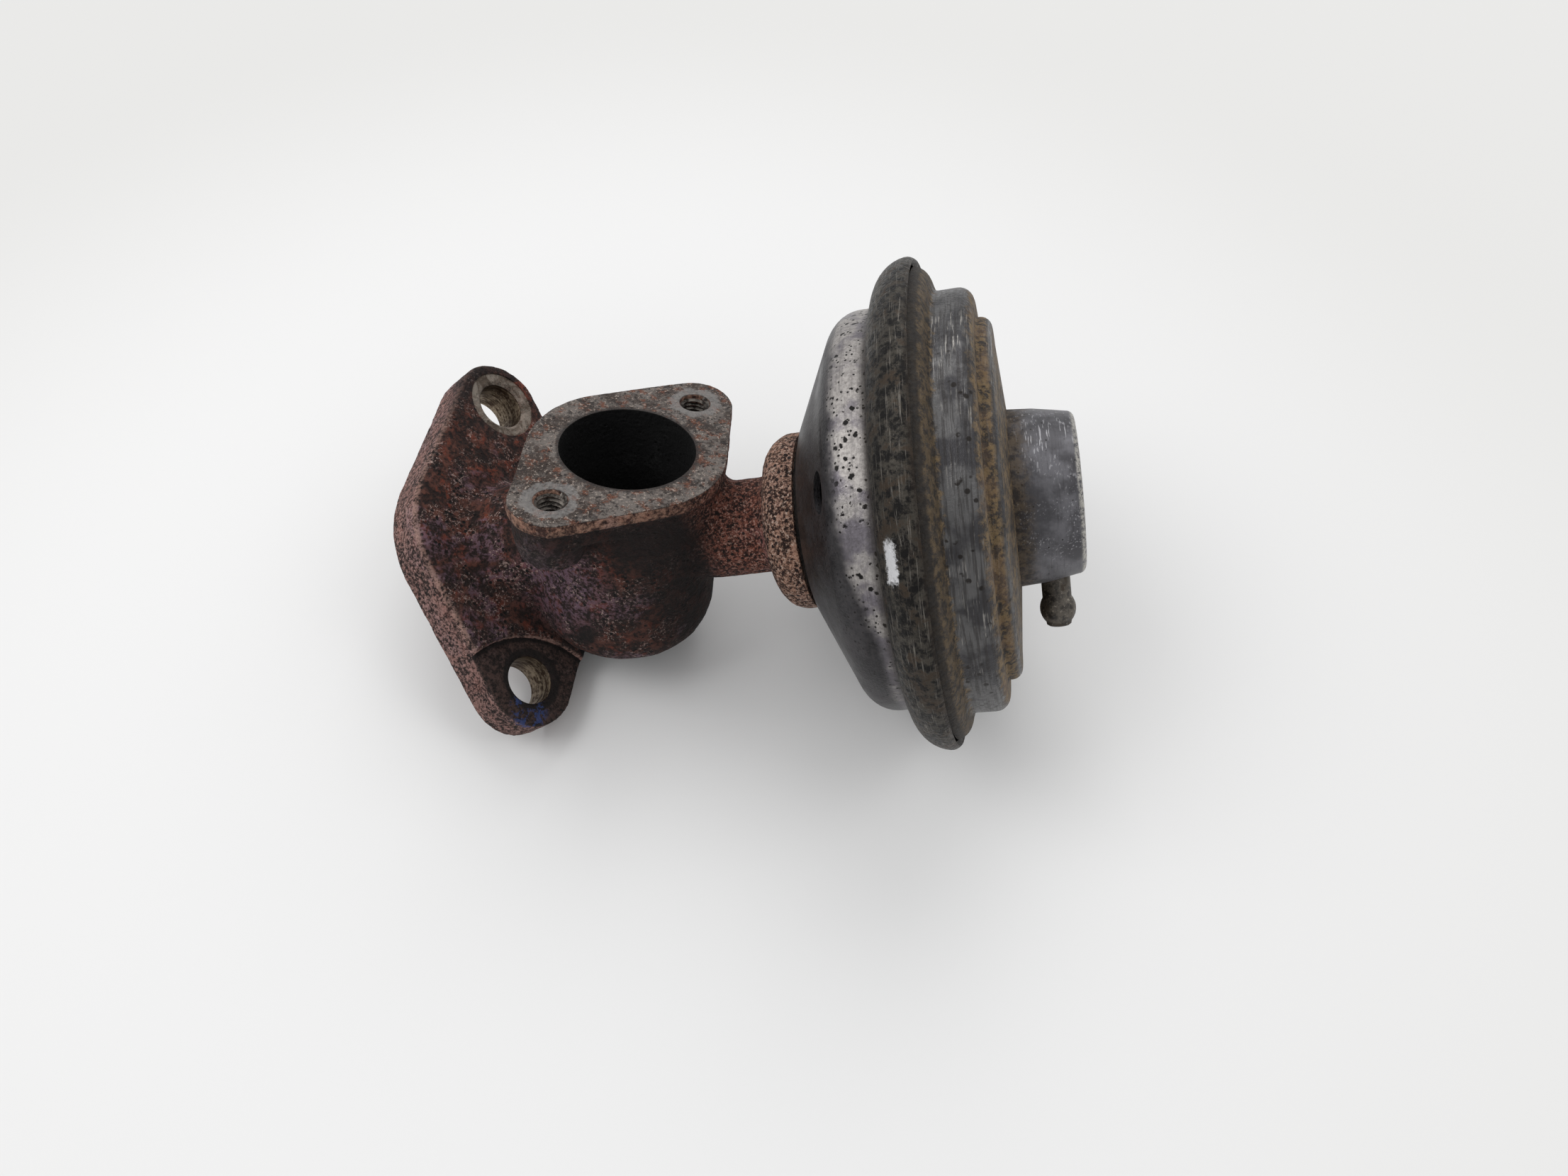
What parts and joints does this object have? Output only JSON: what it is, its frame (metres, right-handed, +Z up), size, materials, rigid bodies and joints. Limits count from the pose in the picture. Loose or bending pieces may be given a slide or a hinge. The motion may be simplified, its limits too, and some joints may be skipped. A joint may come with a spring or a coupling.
{
  "type": "exhaust gas recirculation valve",
  "caption": "Vacuum-operated exhaust gas recirculation valve: skewed cast housing with an inlet and an outlet flange, poppet on a sprung diaphragm in a crimped round actuator with a hose tip.",
  "frame": {"origin": "centre of the outlet bore in the plane of the outlet flange's face", "axes": "+Z is up from the bench the valve lies on, +X runs level below the stem, from the inlet flange towards the spring cap, and +Y completes the set"},
  "size_m": [0.1437, 0.096, 0.0929],
  "materials": {
    "rusted_iron": "rusty as-cast, machined flange faces",
    "seat_steel": "sooty turned steel",
    "bush_iron": "turned grey iron",
    "packing": "pressed graphite packing",
    "zinc_shell": "dull zinc plate with dark specks",
    "drawn_steel": "brushed drawn steel with brown dirt",
    "cap_steel": "smooth grey drawn steel",
    "stem_steel": "ground steel",
    "diaphragm_rubber": "fabric-backed rubber",
    "gasket_fibre": "dark fibre",
    "spring_steel": "oiled spring steel",
    "nipple_steel": "worn zinc plate",
    "zinc_parts": "zinc plate"
  },
  "bodies": {
    "valve_body": {"valve_housing": "rusted_iron", "seat_ring": "seat_steel", "guide_bush": "bush_iron", "packing_ring": "packing", "packing_washer": "zinc_parts", "packing_retainer": "zinc_parts", "insulating_gasket": "gasket_fibre", "backing_ring": "zinc_parts", "shell_screws": "zinc_parts", "screw_washers": "zinc_parts", "lower_shell": "zinc_shell", "diaphragm": "diaphragm_rubber", "return_spring": "spring_steel", "spring_shim": "zinc_parts", "upper_cover": "drawn_steel", "spring_cap": "cap_steel", "vacuum_nipple": "nipple_steel"},
    "stem_assembly": {"valve_stem": "stem_steel", "poppet": "seat_steel", "lower_plate": "zinc_parts", "upper_cup": "zinc_parts", "stack_washer": "zinc_parts", "stem_nut": "spring_steel"}
  },
  "joints": [
    {"name": "valve_lift", "type": "slide", "parent": "valve_body", "child": "stem_assembly", "axis": [0.9655, 0, 0.2605], "range_m": [0, 0.006], "stiffness_N_per_m": 2500, "springref_m": -0.006, "deforming": ["return_spring", "diaphragm"]}
  ]
}
